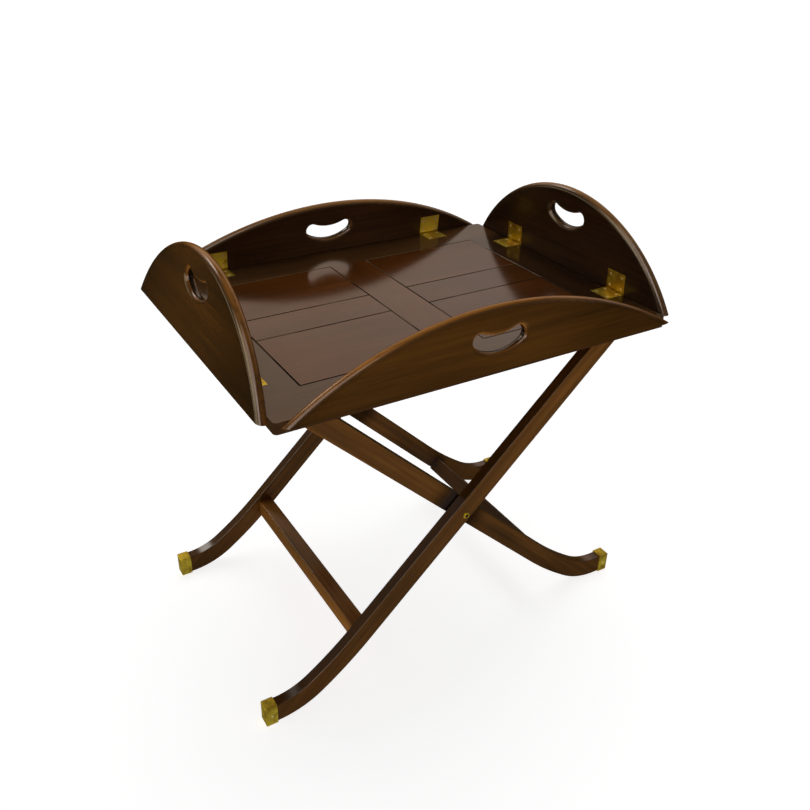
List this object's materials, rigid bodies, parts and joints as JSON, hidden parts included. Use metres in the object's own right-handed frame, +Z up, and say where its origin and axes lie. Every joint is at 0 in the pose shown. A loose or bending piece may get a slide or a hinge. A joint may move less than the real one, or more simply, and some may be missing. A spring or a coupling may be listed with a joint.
{
  "type": "folding tray table",
  "caption": "Low wooden tray table: a panelled tray with hinged curved flaps and kidney hand holes, resting on a folding cross-legged stand with brass-capped feet.",
  "frame": {"origin": "on the floor under the middle of the tray", "axes": "+X along the tray's length, -Y towards the front flap, +Z up"},
  "size_m": [0.7088, 0.537, 0.6951],
  "materials": {
    "mahogany": "gloss",
    "brass": "polished",
    "steel": "satin"
  },
  "bodies": {
    "outer_frame": {"outer_front_leg": "mahogany", "outer_back_leg": "mahogany", "outer_top_rail": "mahogany", "outer_lower_bar": "mahogany", "outer_toe_caps": "brass", "outer_cap_nails": "brass", "pivot_bolts": "brass", "pivot_washers": "brass", "pivot_spacers": "steel", "pivot_nuts": "steel"},
    "inner_frame": {"inner_front_leg": "mahogany", "inner_back_leg": "mahogany", "inner_top_rail": "mahogany", "inner_lower_bar": "mahogany", "inner_toe_caps": "brass", "inner_cap_nails": "brass"},
    "back_flap": {"back_flap": "mahogany", "back_flap_leaves": "brass", "back_flap_screws": "brass"},
    "front_flap": {"front_flap": "mahogany", "front_flap_leaves": "brass", "front_flap_screws": "brass"},
    "left_flap": {"left_flap": "mahogany", "left_flap_leaves": "brass", "left_flap_screws": "brass"},
    "right_flap": {"right_flap": "mahogany", "right_flap_leaves": "brass", "right_flap_screws": "brass"},
    "tray": {"front_rail": "mahogany", "back_rail": "mahogany", "left_stile": "mahogany", "right_stile": "mahogany", "centre_stile": "mahogany", "left_back_board": "mahogany", "left_middle_board": "mahogany", "left_front_board": "mahogany", "right_back_board": "mahogany", "right_middle_board": "mahogany", "right_front_board": "mahogany", "left_batten": "mahogany", "right_batten": "mahogany", "batten_screws": "steel", "back_base_leaves": "brass", "back_base_screws": "brass", "back_hinge_pins": "brass", "front_base_leaves": "brass", "front_base_screws": "brass", "front_hinge_pins": "brass", "left_base_leaves": "brass", "left_base_screws": "brass", "left_hinge_pins": "brass", "right_base_leaves": "brass", "right_base_screws": "brass", "right_hinge_pins": "brass"}
  },
  "joints": [
    {"name": "tray_lift", "type": "slide", "parent": "outer_frame", "child": "tray", "axis": [0, 0, 1], "range_m": [0, 0.46]},
    {"name": "stand_fold", "type": "hinge", "parent": "outer_frame", "child": "inner_frame", "pos_m": [0.0015, 0, 0.273], "axis": [0, 1, 0], "range_deg": [0, 80]},
    {"name": "back_flap_hinge", "type": "hinge", "parent": "tray", "child": "back_flap", "pos_m": [0, 0.2533, 0.5585], "axis": [-1, 0, 0], "range_deg": [0, 97.2]},
    {"name": "front_flap_hinge", "type": "hinge", "parent": "tray", "child": "front_flap", "pos_m": [0, -0.2533, 0.5585], "axis": [1, 0, 0], "range_deg": [0, 98.5]},
    {"name": "left_flap_hinge", "type": "hinge", "parent": "tray", "child": "left_flap", "pos_m": [-0.3283, 0, 0.5585], "axis": [0, -1, 0], "range_deg": [0, 101.3]},
    {"name": "right_flap_hinge", "type": "hinge", "parent": "tray", "child": "right_flap", "pos_m": [0.3283, 0, 0.5585], "axis": [0, 1, 0], "range_deg": [0, 92.3]}
  ],
  "couplings": [
    {"joint": "stand_fold", "follows": "tray_lift", "rad_per_m": 3.0278}
  ]
}
